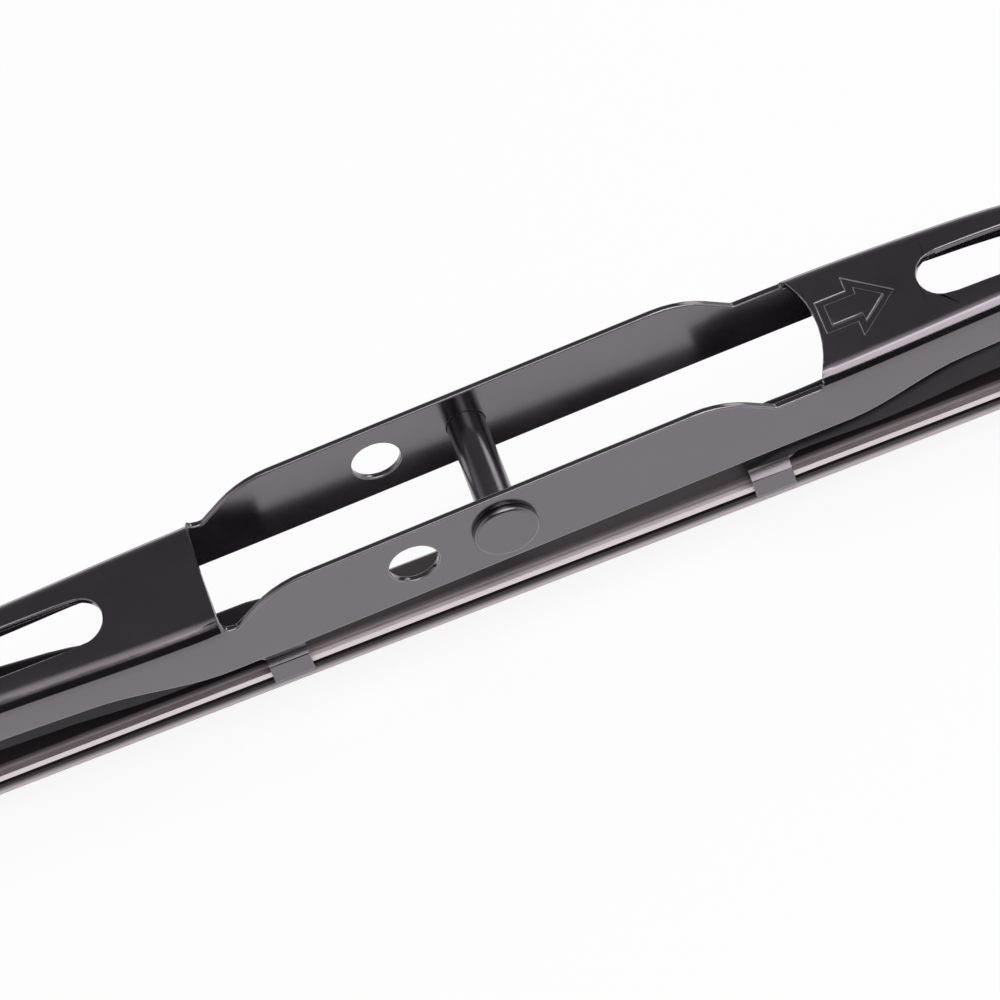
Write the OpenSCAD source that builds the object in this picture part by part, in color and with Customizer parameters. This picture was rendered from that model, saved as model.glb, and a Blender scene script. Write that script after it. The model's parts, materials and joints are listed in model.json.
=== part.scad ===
// Wiper blade: a pressed steel bridge, two yokes and two end yokes hold a rubber squeegee on six claws.
// Lengths are in millimetres. The origin is the middle of the cross pin that the wiper arm grips.
// +X runs along the blade and +Z points away from the glass.

/* [Blade] */
// Length of the rubber
blade_len = 450; // [440:5:500]
// Distance of the blade's middle from the cross pin
mid_x = 1.1; // [0:0.1:2]
// Distance of the inner claws from the blade's middle
inner_claw = 32.15; // [31.5:0.05:34]
// Distance from each claw to the next one outwards
claw_pitch = 77.7; // [76:0.1:80]
// Height of the rails' upper faces
rail_z = -16.5; // [-17.5:0.1:-16]

/* [Bridge] */
// Thickness of the bridge's sheet
bridge_t = 0.9; // [0.8:0.05:1.2]
// Outer radius of the bends between the web and the flanges
bridge_r = 2.3; // [1.8:0.1:2.6]
// Width over the two flanges at the cross pin
ear_w = 18.2; // [17.6:0.05:19]
// Height of the web's outer face beside the window
web_z = 3; // [2.8:0.05:3.6]
// How far the web is arched above the bends' height
web_crown = 0.25; // [0:0.05:0.4]
// Depth of the flanges at the ears, from the web's outer face
ear_depth = 9.2; // [9:0.1:10]
// Depth of the flanges next to the window's outer side
arm_depth = 6.6; // [6.4:0.1:7.2]
// Depth of the flanges in the middle of each arm
waist_depth = 6.4; // [6:0.1:7]
// Depth of the flanges at the yokes' rivets
boss_depth = 8.5; // [8:0.1:9]
// Distance from the yokes' rivets to the bridge's ends
bridge_run = 8; // [7:0.5:10]
// Half-width of the arms where they have drawn in from the window's ends
shoulder_half = 7.95; // [7.6:0.05:8.4]
// How far the left arm's web lies below the line through the window
left_drop = 0.3; // [0:0.05:0.4]
// Angle of the bridge's middle to the rubber, higher towards +X
lean_deg = 2.07; // [0:0.01:2.5]

/* [Bridge's arms] */
// Distance from the middle to where the web starts to fall
fall_x = 64; // [58:1:68]
// Length over which the arms draw in from the window's ends
shoulder_len = 36; // [30:1:38]
// Distance from the cross pin to where the arms start to narrow
narrow_x = 65; // [58:1:68]
// Length over which the arms narrow
narrow_len = 35; // [30:1:40]
// Distance from the middle to where the flanges thin to their waist
waist_x = 60; // [56:1:64]
// Length over which they thin
waist_len = 30; // [24:1:32]
// Length over which the flanges deepen towards the rivets
boss_len = 18; // [14:1:20]
// Distance from the rivets to where the flanges reach their full depth
boss_flat = 4; // [3:0.5:6]
// Distance from the window to the step in the left flanges' lower edges
step_l = 1; // [0.5:0.5:3]
// Length of that step
step_l_len = 17; // [12:1:18]
// Distance from the window to the step in the right flanges' lower edges
step_r = 2; // [1:0.5:4]
// Length of that step
step_r_len = 15; // [11:1:16]

/* [Hook window] */
// Height of the ears' upper edges
ear_top = 6; // [5.2:0.1:6.4]
// Distance from the cross pin to the window's left edge
window_l = 37; // [36:0.25:39]
// Distance from the cross pin to the window's right corners
window_r = 42.5; // [42:0.25:44]
// How far the window's right edge bulges outwards
window_bulge = 2; // [1.5:0.1:2.6]
// Length of the notch between the left edge and the ears
notch_l = 2.1; // [1.8:0.1:3]
// Length of the step between the right edge and the ears
notch_r = 6.5; // [5:0.1:7]
// Radius of the ears' rounded ends
ear_round = 11.5; // [10:0.5:12]
// Angle at which they run down to the notch and the step
ear_angle = 37; // [32:1:42]
// Height of the floor of the notch and the step
notch_z = 1.4; // [1:0.1:1.6]
// Radius in the notch's corner at the window's left edge
notch_round = 1.4; // [0.8:0.1:1.6]
// Radius in the step's corner at the window's right edge
step_round = 0.6; // [0.4:0.1:1]

/* [Cross pin and holes] */
// Diameter of the cross pin
pin_d = 5; // [4.6:0.1:6]
// Diameter of the cross pin's heads
pin_head_d = 8.4; // [8:0.1:9]
// Thickness of the cross pin's heads
pin_head_t = 1; // [0.8:0.1:1.2]
// Diameter of the side holes through both ears
side_hole_d = 6.35; // [6:0.05:6.6]
// Distance from the cross pin to the side holes
side_hole_x = 12; // [11:0.1:14]

/* [Slots and arrow] */
// Width of the slots in the web
slot_w = 7.1; // [5:0.1:7.4]
// Distance from the cross pin to the left slot
slot_l = 50.1; // [46:0.1:56]
// Distance from the cross pin to the right slot
slot_r = 57.9; // [57:0.1:62]
// Distance from the cross pin to the slots' outer ends
slot_end = 94; // [80:1:96]
// Length of the pressed arrow
arrow_len = 9.4; // [8:0.1:10]
// Length of the arrow's head
arrow_head_len = 5.3; // [4.5:0.1:6]
// Width of the arrow's head
arrow_head_w = 9.5; // [8:0.1:10]
// Width of the arrow's tail
arrow_tail_w = 5; // [4:0.1:6]
// Width of the arrow's pressed line
arrow_line = 0.8; // [0.6:0.05:0.9]
// Depth of the arrow's pressed line
arrow_sink = 0.3; // [0.2:0.05:0.4]
// Distance from the window's right edge to the arrow
arrow_gap = 0.8; // [0.5:0.1:1.5]

/* [Yokes] */
// Thickness of the yokes' sheet
yoke_t = 0.85; // [0.7:0.05:0.9]
// Outer radius of the yokes' bends
yoke_r = 1.3; // [1.1:0.1:1.5]
// Half-width over the yokes at their rivets
yoke_half = 5.3; // [5.2:0.05:5.5]
// Height of the yokes' webs at their rivets
yoke_crest = -3.8; // [-4.2:0.1:-3.6]
// How much lower the yokes' webs lie where their necks end
yoke_inner_fall = 3.1; // [2.6:0.1:3.4]
// How much lower the yokes' webs lie at the outer ends
yoke_outer_fall = 1.6; // [1.2:0.1:2]
// Depth of the yokes where their necks end
yoke_arm_depth = 5; // [4.4:0.1:5.2]
// Depth of the yokes at their rivets
yoke_boss_depth = 6.7; // [6:0.1:7]
// Depth of the yokes at the end yokes' rivets
yoke_end_depth = 7.5; // [7:0.1:8]
// Distance from the end yokes' rivets to the yokes' ends
yoke_run = 5.6; // [5:0.1:7]
// Length of each neck beside the inner claw before it climbs
neck_lead = 3; // [2:0.5:4]
// Length over which the neck climbs to the arm
neck_len = 22; // [18:0.5:24]
// How much the neck rises along its claw
neck_rise = 1.25; // [0.8:0.05:1.6]
// Depth of the neck beside its claw
neck_depth = 1.65; // [1.6:0.05:2.2]
// Length of the fillet from the claw up to the neck's lower edge
neck_fillet = 1.5; // [1:0.1:2.5]
// Length over which the yokes narrow from their rivets to the end yokes
tail_len = 14; // [10:1:18]
// Radius of the lower corners at the yokes' outer ends
yoke_nose = 3.5; // [2.5:0.5:4]

/* [End yokes] */
// Thickness of the end yokes' sheet
end_t = 0.8; // [0.7:0.05:0.85]
// Outer radius of the end yokes' bends
end_r = 1.1; // [1:0.05:1.3]
// Half-width over the end yokes at their rivets
end_half = 4.5; // [4.4:0.05:4.6]
// Depth of the end yokes at their rivets
end_boss_depth = 5.5; // [5:0.1:6]
// Depth of the end yokes beside their claws
end_tip_depth = 2.5; // [2:0.1:2.6]
// Distance from the end yokes' rivets to where their webs start to fall
end_fall_x = 6; // [5:0.5:8]
// Distance from the end yokes' rivets to where they become shallower
end_slim_x = 8; // [7:0.5:10]
// Distance from the end yokes' rivets to where they start to narrow
end_draw_x = 16; // [12:1:18]
// Length over which the end yokes narrow
end_draw_len = 14; // [10:1:16]

/* [Claws] */
// Length of each claw along the rubber
claw_len = 5.3; // [4.5:0.1:6]
// Half-width over the necks above the claws
neck_half = 4.2; // [4.1:0.05:4.3]
// Height of the claws' shoulders above the rails' upper faces
claw_rise = 1.9; // [1.7:0.1:2.2]
// Height of the jog from each claw to its neck
jog_h = 0.65; // [0.5:0.05:0.8]
// Height of the claws' straight necks between the jog and the bend
neck_wall = 0.1; // [0.05:0.05:0.3]
// Thickness of the claws' turned-in tips
tip_t = 0.65; // [0.5:0.05:0.8]
// Distance between the two tips of a claw
tip_space = 6; // [5.6:0.1:6.4]

/* [Pivots] */
// Height of the yokes' rivets
yoke_pivot_z = -6; // [-6.4:0.1:-5.8]
// Diameter of the yokes' rivets
yoke_rivet_d = 3.5; // [3:0.1:3.8]
// Height of the end yokes' rivets
end_pivot_z = -9.6; // [-10:0.1:-9.2]
// Diameter of the end yokes' rivets
end_rivet_d = 3; // [2.6:0.1:3.4]
// Width of the rivets' heads beyond their shanks, all round
rivet_lip = 1.1; // [0.8:0.1:1.3]
// Height of the rivets' domed heads
rivet_head_t = 0.9; // [0.7:0.1:1.1]
// Room between the sides of two levers at a pivot
side_room = 0.38; // [0.34:0.02:0.44]
// Height between the yokes' webs and the bridge's web
web_room = 1.48; // [1.4:0.02:1.8]
// Height between the end yokes' webs and the yokes' webs
end_room = 0.95; // [0.9:0.05:1.1]
// Length of the plastic liners over the yokes
yoke_liner_len = 13; // [11:0.5:14]
// Length of the plastic liners over the end yokes
end_liner_len = 10; // [9:0.5:10.5]
// Thickness of the liners' upper walls
liner_web_t = 0.35; // [0.3:0.05:0.4]
// Distance from the levers' lower edges up to the liners' lower edges
liner_lift = 1; // [0.6:0.1:1.4]

/* [Rubber and rails] */
// Width over the two rails
rails_w = 8.6; // [8.4:0.1:9]
// Thickness of the rails
rail_t = 1; // [0.8:0.05:1.1]
// Distance from each rail's end to the rubber's end
rail_inset = 2; // [1:0.5:5]
// Distance from the rails' ends to their notches
key_inset = 10; // [6:1:16]
// Length of the rails' notches
key_len = 4; // [3:0.5:6]
// Depth of the rails' notches
key_depth = 0.9; // [0.6:0.1:1.2]
// Width of the rubber's core between the rails
core_w = 1.8; // [1.4:0.1:2]
// Width of the rubber's head
head_w = 7.2; // [6.8:0.1:7.4]
// Height of the rubber's head above the rails
head_h = 1; // [0.8:0.1:1.2]
// Width of the lips under the rails
lip_w = 5.2; // [4.6:0.1:5.4]
// Thickness of the lips under the rails
lip_t = 0.85; // [0.7:0.05:0.9]
// Width of the rubber's shoulders
shoulder_w = 8; // [7.6:0.1:8.4]
// Height of the shoulders' upright sides
shoulder_h = 1.7; // [1.4:0.1:2]
// Height of the slopes from the shoulders in to the thin neck
slope_h = 0.9; // [0.6:0.1:1.2]
// Size of the rounded corners of the rubber
rubber_corner = 0.3; // [0.2:0.05:0.4]
// Depth of the groove between the lips and the shoulders
groove_h = 0.5; // [0.4:0.05:0.7]
// Thickness of the thin neck that lets the wiping edge flip over
hinge_t = 1; // [0.8:0.1:1.2]
// Height of the thin neck
hinge_h = 0.8; // [0.6:0.1:1.2]
// Height of the tapering wiping edge
edge_h = 2.8; // [2.4:0.1:3.4]
// Width of the wiping edge at its root
edge_root_w = 2.6; // [2.2:0.1:3]
// Width of the wiping edge at the glass
edge_tip_w = 0.7; // [0.5:0.05:0.9]

/* [Clearances] */
// Clearance of pieces that slide or seat against each other
slip = 0.05; // [0.03:0.01:0.08]
// Radial clearance of the rivets in the levers that rock on them
run_fit = 0.05; // [0.02:0.01:0.08]
// Radial clearance of the pins in the sheets that hold them
tight_fit = 0.01; // [0.01:0.005:0.02]

/* [Hidden] */
$fn = 48;

// Distances from the blade's middle
yoke_pivot = inner_claw + claw_pitch;
end_pivot = inner_claw + 1.5 * claw_pitch;
claw_half_len = claw_len / 2;
end_claw = claw_pitch / 2;

// Heights that follow from the rails
rail_low = rail_z - rail_t;
claw_low = rail_low - slip - tip_t;
jog_low = rail_z + claw_rise;
jog_high = jog_low + jog_h;
neck_top = jog_high + end_r + neck_wall;
yoke_neck_top = neck_top + neck_rise;
rail_half = rails_w / 2;

// Heights and half-widths that stack up at the pivots
bridge_end_z = yoke_crest + web_room + bridge_t;
bridge_end_half = yoke_half + side_room + bridge_t;
yoke_end_z = yoke_crest - yoke_outer_fall;
yoke_end_half = end_half + side_room + yoke_t;
end_crest = yoke_end_z - yoke_t - end_room;

// Places along the bridge, from the cross pin
ear_half = ear_w / 2;
knee_l = window_l - notch_l;
knee_r = window_r - notch_r;
shell_rise = ear_top + 1.25 * bridge_r;
ear_slope = ear_round * sin(ear_angle)
    + (ear_top - notch_z - ear_round * (1 - cos(ear_angle))) / tan(ear_angle);

// Segments in each bend of the bridge and of the levers
bridge_steps = 4;
lever_steps = 3;
// Height of the tools that cut right through
through = 40;

function clamp01(t) = min(1, max(0, t));
function mix(a, b, t) = a + (b - a) * t;
// Smooth step from 0 at a to 1 at b
function ease(a, b, x) = let (t = clamp01((x - a) / (b - a))) t * t * (3 - 2 * t);
// n values from a towards b, without b
function spread(a, b, n) = [for (i = [0 : n - 1]) mix(a, b, i / n)];
function reversed(list) = [for (i = [len(list) - 1 : -1 : 0]) list[i]];
function mirrored(list) = [for (p = list) [-p[0], p[1]]];
// Quarter bend from the angle a0 to straight up
function bend(y, z, r, a0, steps) =
    [for (i = [0 : steps]) let (a = mix(a0, 90, i / steps)) [y + r * cos(a), z + r * sin(a)]];
// Path over a channel, from edge to edge, out of its half path and its web's height in the middle
function over(half, web) = concat(half, [[0, web]], reversed(mirrored(half)));
// How much the lower corner of radius r at the end rises at u
function nose(u, end, r) = let (v = clamp01((u - end + r) / r)) r * (1 - sqrt(1 - v * v));
// Stations of that rounded corner, its end included
function nose_at(end, r) = [for (a = [0 : 22.5 : 90]) end - r + r * sin(a)];

// Channel through rings of [place along X, outer path, inner path]
// All the paths have the same number of points
module channel(rings) {
    n = len(rings[0][1]);
    m = len(rings);
    function outer(i, j) = 2 * n * i + j;
    function inner(i, j) = 2 * n * i + n + j;
    polyhedron(
        points = [for (ring = rings) for (path = [ring[1], ring[2]]) for (p = path) [ring[0], p[0], p[1]]],
        faces = concat(
            [for (j = [0 : n - 2]) [outer(0, j), outer(0, j + 1), inner(0, j + 1), inner(0, j)]],
            [for (j = [0 : n - 2])
                [outer(m - 1, j), inner(m - 1, j), inner(m - 1, j + 1), outer(m - 1, j + 1)]],
            [for (i = [0 : m - 2]) for (j = [0 : n - 2])
                [outer(i, j), outer(i + 1, j), outer(i + 1, j + 1), outer(i, j + 1)]],
            [for (i = [0 : m - 2]) for (j = [0 : n - 2])
                [inner(i, j), inner(i, j + 1), inner(i + 1, j + 1), inner(i + 1, j)]],
            [for (i = [0 : m - 2]) [inner(i, 0), inner(i + 1, 0), outer(i + 1, 0), outer(i, 0)]],
            [for (i = [0 : m - 2])
                [outer(i, n - 1), outer(i + 1, n - 1), inner(i + 1, n - 1), inner(i, n - 1)]]
        ),
        convexity = 8
    );
}

// Main bridge

// Where the stations become wider apart
arm_x = 62;
bridge_end = yoke_pivot + bridge_run;
bridge_nose = bridge_run / 2;
// The bridge's lean, which fades out before the yokes' rivets
function bridge_lean(x) = let (d = abs(x - mid_x), fade = 1 - ease(waist_x + waist_len / 2, yoke_pivot, d))
    tan(lean_deg) * x * (1 - pow(min(1, d / yoke_pivot), 2)) * fade;
// How far the left arm's web lies below that lean, fading out towards the window and the rivet
function web_drop(x) = let (fade = 1 - ease(waist_x, yoke_pivot, mid_x - x))
    left_drop * ease(knee_l, window_l + step_l, -x) * fade;
function web_top(x) = let (d = abs(x - mid_x))
    mix(web_z, bridge_end_z, ease(fall_x, yoke_pivot + 2, d)) + bridge_lean(x) - web_drop(x);
// The swept shell stands high along the window, so that the flanges reach the ears' upper edges
function in_window(x) = ease(-window_l, -knee_l, x) * (1 - ease(knee_r, window_r, x));
function shell_top(x) = mix(web_top(x), shell_rise + bridge_lean(x), in_window(x));
function edge_step(x) = x < 0
    ? ease(window_l + step_l, window_l + step_l + step_l_len, -x)
    : ease(window_r + step_r, window_r + step_r + step_r_len, x);
function bridge_depth(x) = let (d = abs(x - mid_x))
    mix(ear_depth, arm_depth, edge_step(x))
    + (waist_depth - arm_depth) * ease(waist_x, waist_x + waist_len, d)
    + (boss_depth - waist_depth) * ease(yoke_pivot - boss_flat - boss_len, yoke_pivot - boss_flat, d);
function bridge_low(x) = web_top(x) + web_drop(x) - bridge_depth(x)
    + nose(abs(x - mid_x), bridge_end, bridge_nose);
function bridge_half(x) = let (start = x < 0 ? window_l : window_r)
    ear_half
    - (ear_half - shoulder_half) * ease(start, start + shoulder_len, abs(x))
    - (shoulder_half - bridge_end_half) * ease(narrow_x, narrow_x + narrow_len, abs(x));

function bridge_ring(x) = let (
        top = shell_top(x),
        low = bridge_low(x),
        half = bridge_half(x),
        bend_z = top - bridge_r,
        y = half - bridge_r
    ) [
        x,
        over(concat([[half, low]], bend(y, bend_z, bridge_r, 0, bridge_steps)), top + web_crown),
        over(concat([[half - bridge_t, low]], bend(y, bend_z, bridge_r - bridge_t, 0, bridge_steps)),
            top - bridge_t + web_crown)
    ];

function bridge_stations() = concat(
    reversed([for (u = nose_at(bridge_end, bridge_nose)) mid_x - u]),
    spread(mid_x - bridge_end + bridge_nose + 2, -arm_x, 14),
    spread(-arm_x, -window_l, 12),
    spread(-window_l, -knee_l, 2),
    spread(-knee_l, -knee_l + ear_slope, 4),
    spread(-knee_l + ear_slope, knee_r - ear_slope, 6),
    spread(knee_r - ear_slope, knee_r, 4),
    spread(knee_r, window_r, 3),
    spread(window_r, arm_x, 10),
    spread(arm_x, mid_x + bridge_end - bridge_nose, 14),
    [for (u = nose_at(bridge_end, bridge_nose)) mid_x + u]
);

// Quarter-round corner of the side cut, centred on c, from the angle a0 to a1
function corner(c, r, a0, a1) = [for (i = [0 : 3]) let (a = mix(a0, a1, i / 3)) c + r * [cos(a), sin(a)]];
function leaned(points) = [for (p = points) [p[0], p[1] + bridge_lean(p[0])]];

// What is cut away above the ears, seen from the side
module window_side() {
    turn = [for (i = [0 : 5]) ear_angle * i / 5];
    down = [for (a = turn) [ear_round * sin(a), ear_top - ear_round * (1 - cos(a))]];
    rotate([90, 0, 0])
        linear_extrude(height = through, center = true)
            polygon(concat(
                [[-window_l, 2 * shell_rise]],
                leaned(corner([-window_l + notch_round, notch_z + notch_round], notch_round, 180, 270)),
                leaned([[-knee_l, notch_z]]),
                leaned([for (p = reversed(down)) [ear_slope - knee_l - p[0], p[1]]]),
                leaned([for (p = down) [knee_r - ear_slope + p[0], p[1]]]),
                leaned([[knee_r, notch_z]]),
                leaned(corner([window_r - step_round, notch_z + step_round], step_round, 270, 360)),
                [[window_r, 2 * shell_rise]]
            ));
}

// The bulge of the window's right edge, seen from above
module window_bow() {
    chord = ear_half - bridge_t;
    r = (pow(chord, 2) + pow(window_bulge, 2)) / (2 * window_bulge);
    intersection() {
        translate([window_r + window_bulge - r, 0, notch_z])
            cylinder(r = r, h = through);
        translate([window_r - 1, -chord, notch_z])
            cube([window_bulge + 2, 2 * chord, through]);
    }
}

module slot(x0, x1) {
    r = slot_w / 2;
    translate([0, 0, -through / 4])
        linear_extrude(height = through) {
            translate([x0 + r, 0])
                circle(r = r);
            translate([x1 - r, 0])
                circle(r = r);
            translate([x0 + r, -r])
                square([x1 - x0 - slot_w, slot_w]);
        }
}

// Arrow that points along +X, with its outline moved inwards by inset
module arrow_shape(inset) {
    a = atan(arrow_head_w / 2 / arrow_head_len);
    neck = arrow_len - arrow_head_len;
    tip = arrow_len - inset / sin(a);
    tail_half = arrow_tail_w / 2 - inset;
    head_half = (tip - neck - inset) * tan(a);
    polygon([
        [inset, -tail_half], [neck + inset, -tail_half], [neck + inset, -head_half], [tip, 0],
        [neck + inset, head_half], [neck + inset, tail_half], [inset, tail_half]
    ]);
}

module arrow_press() {
    x = window_r + window_bulge + arrow_gap;
    rise = web_top(x + arrow_len) - web_top(x);
    translate([x, 0, web_top(x) + web_crown - arrow_sink])
        rotate([0, -atan(rise / arrow_len), 0])
            linear_extrude(height = 2)
                difference() {
                    arrow_shape(0);
                    arrow_shape(arrow_line);
                }
}

// Straight pin or bore across the blade
module across(d, h = through) {
    rotate([90, 0, 0])
        cylinder(d = d, h = h, center = true);
}

module main_bridge() {
    color([0.13, 0.13, 0.14])
        difference() {
            channel([for (x = bridge_stations()) bridge_ring(x)]);
            window_side();
            window_bow();
            slot(-slot_end, -slot_l);
            slot(slot_r, slot_end);
            arrow_press();
            across(pin_d + 2 * tight_fit);
            translate([-side_hole_x, 0, bridge_lean(-side_hole_x)])
                across(side_hole_d);
            for (side = [-1, 1])
                translate([mid_x + side * yoke_pivot, 0, yoke_pivot_z])
                    across(yoke_rivet_d + 2 * tight_fit);
        }
}

// Pin with a rounded button head at each end; grip is the half-width of what it holds
module headed_pin(d, grip, head_d, head_t) {
    rim = head_t * 0.45;
    r = head_d / 2;
    half = concat(
        [[0, 0], [d / 2, 0], [d / 2, grip], [r, grip]],
        [for (a = [0 : 22.5 : 90]) [r - rim + rim * cos(a), grip + head_t - rim + rim * sin(a)]],
        [[0, grip + head_t]]
    );
    for (turn = [90, -90])
        rotate([turn, 0, 0])
            rotate_extrude()
                polygon(half);
}

module cross_pin() {
    color([0.5, 0.5, 0.52])
        headed_pin(pin_d, ear_half + slip / 5, pin_head_d, pin_head_t);
}

// Yokes, drawn on the +X side from the blade's middle

// Outline of a lever's channel
// A claw has a wide foot below a jog; elsewhere the foot is as wide as the neck
function lever_ring(u, top, low, neck, foot, jog0, jog1, r, t, web_t, edge) = let (
        // The inside of a jog lies lower than its outside
        drop = foot > neck ? t / 3 : 0,
        foot_in = foot - t,
        under = top - web_t
    ) [
        u,
        over(concat([[foot - edge, low], [foot, low + edge], [foot, jog0], [neck, jog1]],
            bend(neck - r, top - r, r, 0, lever_steps)), top),
        over(concat([[foot_in, low], [foot_in, low + edge], [foot_in, jog0 - drop], [neck - t, jog1 - drop]],
            bend(neck - r, under - r + t, r - t, 0, lever_steps)), under)
    ];

// Where the flat side of an arm keeps the two points that the claws have at their jogs
function fold_low(low, high) = mix(low, high, 0.4);
function fold_high(low, high) = mix(low, high, 0.7);

// Bevels along the lower edges of the claws and of the arms
claw_edge = 0.4;
arm_edge = 0.12;
// Gap in X between a claw's last ring and the arm's first one
claw_cut = 0.05;

yoke_claw0 = inner_claw - claw_half_len;
yoke_claw1 = inner_claw + claw_half_len;
yoke_end = end_pivot + yoke_run;
neck_in = yoke_claw1 + neck_lead;
neck_out = neck_in + neck_len;
// Ends of the yokes' flat parts over their rivets
boss_in = yoke_pivot - yoke_liner_len / 2;
boss_out = yoke_pivot + yoke_liner_len / 2;
tail_in = end_pivot - end_liner_len / 2;

function yoke_arm_top(u) = u < yoke_pivot
    ? yoke_crest - yoke_inner_fall * pow((yoke_pivot - u) / (yoke_pivot - neck_out), 2)
    : yoke_crest - yoke_outer_fall * ease(yoke_pivot, tail_in, u);
function yoke_top(u) = mix(
    neck_top + neck_rise * ease(yoke_claw0, yoke_claw1, u),
    yoke_arm_top(u),
    ease(neck_in, neck_out, u));
function yoke_depth(u) = mix(
    mix(yoke_arm_depth, yoke_boss_depth, ease(neck_out, boss_in, u)),
    yoke_end_depth,
    ease(boss_out, tail_in, u));
function yoke_low(u) = mix(
    mix(jog_high, yoke_neck_top - neck_depth, ease(yoke_claw1, yoke_claw1 + neck_fillet, u)),
    yoke_arm_top(u) - yoke_depth(u),
    ease(neck_in, neck_out, u)) + nose(u, yoke_end, yoke_nose);
function yoke_neck(u) = neck_half + (yoke_half - neck_half) * ease(neck_in, boss_in, u)
    + (yoke_end_half - yoke_half) * ease(boss_out, boss_out + tail_len, u);
function yoke_slope(u, du = 0.1) = (yoke_top(u + du) - yoke_top(u - du)) / (2 * du);
// Thickness of the sloping web, measured upright
function yoke_web_t(u) = yoke_t * sqrt(1 + pow(yoke_slope(u), 2));
function yoke_bend_r(u) = mix(end_r, yoke_r, ease(neck_in, neck_out, u));

function yoke_claw_ring(u) = lever_ring(u, yoke_top(u), claw_low, neck_half, rail_half + slip + yoke_t,
    jog_low, jog_high, end_r, yoke_t, yoke_web_t(u), claw_edge);
function yoke_arm_ring(u) = let (
        top = yoke_top(u),
        low = yoke_low(u),
        r = yoke_bend_r(u),
        neck = yoke_neck(u)
    ) lever_ring(u, top, low, neck, neck, fold_low(low, top - r), fold_high(low, top - r), r, yoke_t,
        yoke_web_t(u), arm_edge);

// Turned-in tips of a claw centred on u
module claw_tips(u, half) {
    for (side = [-1, 1])
        translate([u, side * (tip_space / 2 + half) / 2, claw_low + tip_t / 2 + slip / 2])
            cube([claw_len, half - tip_space / 2, tip_t - slip], center = true);
}

module yoke() {
    difference() {
        union() {
            channel(concat(
                [for (u = concat(spread(yoke_claw0, yoke_claw1, 3), [yoke_claw1])) yoke_claw_ring(u)],
                [for (u = concat(
                    spread(yoke_claw1 + claw_cut, yoke_claw1 + neck_fillet, 3),
                    spread(yoke_claw1 + neck_fillet, neck_out, 9),
                    spread(neck_out, yoke_pivot, 5),
                    spread(yoke_pivot, yoke_end - yoke_nose, 6),
                    nose_at(yoke_end, yoke_nose)
                )) yoke_arm_ring(u)]
            ));
            claw_tips(inner_claw, rail_half + slip + yoke_t / 3);
        }
        translate([yoke_pivot, 0, yoke_pivot_z])
            across(yoke_rivet_d + 2 * run_fit);
        translate([end_pivot, 0, end_pivot_z])
            across(end_rivet_d + 2 * tight_fit);
    }
}

// End yokes, drawn from their own rivets

function end_top(v) = mix(end_crest, neck_top, ease(end_fall_x, end_claw - claw_half_len, abs(v)));
function end_low(v) = end_top(v)
    - mix(end_boss_depth, end_tip_depth, ease(end_slim_x, end_claw - claw_half_len, abs(v)));
function end_neck(v) = mix(end_half, neck_half, ease(end_draw_x, end_draw_x + end_draw_len, abs(v)));
function end_claw_ring(v) = lever_ring(v, neck_top, claw_low, neck_half, rail_half + slip + end_t,
    jog_low, jog_high, end_r, end_t, end_t, claw_edge);
function end_arm_ring(v) = let (top = end_top(v), low = end_low(v), neck = end_neck(v))
    lever_ring(v, top, low, neck, neck, fold_low(low, top - end_r), fold_high(low, top - end_r), end_r,
        end_t, end_t, arm_edge);

module end_yoke() {
    outer = end_claw + claw_half_len;
    inner = end_claw - claw_half_len;
    difference() {
        union() {
            channel(concat(
                [for (v = [-outer, -inner]) end_claw_ring(v)],
                [for (v = concat(spread(claw_cut - inner, inner - claw_cut, 14), [inner - claw_cut]))
                    end_arm_ring(v)],
                [for (v = [inner, outer]) end_claw_ring(v)]
            ));
            for (side = [-1, 1])
                claw_tips(side * end_claw, rail_half + slip + end_t / 3);
        }
        translate([0, 0, end_pivot_z])
            across(end_rivet_d + 2 * run_fit);
    }
}

// Puts a lever or pivot piece that is drawn on the +X side on the side it belongs to
module on_side(side) {
    translate([mid_x, 0, 0])
        mirror([side < 0 ? 1 : 0, 0, 0])
            children();
}

module yoke_left() {
    color([0.15, 0.15, 0.16])
        on_side(-1)
            yoke();
}

module yoke_right() {
    color([0.15, 0.15, 0.16])
        on_side(1)
            yoke();
}

module end_yoke_left() {
    color([0.17, 0.17, 0.18])
        on_side(-1)
            translate([end_pivot, 0, 0])
                end_yoke();
}

module end_yoke_right() {
    color([0.17, 0.17, 0.18])
        on_side(1)
            translate([end_pivot, 0, 0])
                end_yoke();
}

module yoke_rivet() {
    translate([yoke_pivot, 0, yoke_pivot_z])
        headed_pin(yoke_rivet_d, bridge_end_half + slip / 5, yoke_rivet_d + 2 * rivet_lip, rivet_head_t);
}

module end_rivet() {
    translate([end_pivot, 0, end_pivot_z])
        headed_pin(end_rivet_d, yoke_end_half + slip / 5, end_rivet_d + 2 * rivet_lip, rivet_head_t);
}

module yoke_rivet_left() {
    color([0.35, 0.35, 0.37])
        on_side(-1)
            yoke_rivet();
}

module yoke_rivet_right() {
    color([0.35, 0.35, 0.37])
        on_side(1)
            yoke_rivet();
}

module end_rivet_left() {
    color([0.35, 0.35, 0.37])
        on_side(-1)
            end_rivet();
}

module end_rivet_right() {
    color([0.35, 0.35, 0.37])
        on_side(1)
            end_rivet();
}

// Plastic saddle that fills the side room between two channels, with its corners cut to clear the bends
module liner(len, half, top, low, corner, bore) {
    out = half + side_room - slip;
    in = half + slip;
    inner_top = top - liner_web_t;
    difference() {
        rotate([90, 0, 90])
            linear_extrude(height = len, center = true)
                polygon([
                    [-out, low], [-out, top - corner], [-out + corner, top], [out - corner, top],
                    [out, top - corner], [out, low], [in, low], [in, inner_top - corner],
                    [in - corner, inner_top], [corner - in, inner_top], [-in, inner_top - corner], [-in, low]
                ]);
        translate([0, 0, bore[1]])
            across(bore[0]);
    }
}

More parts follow.
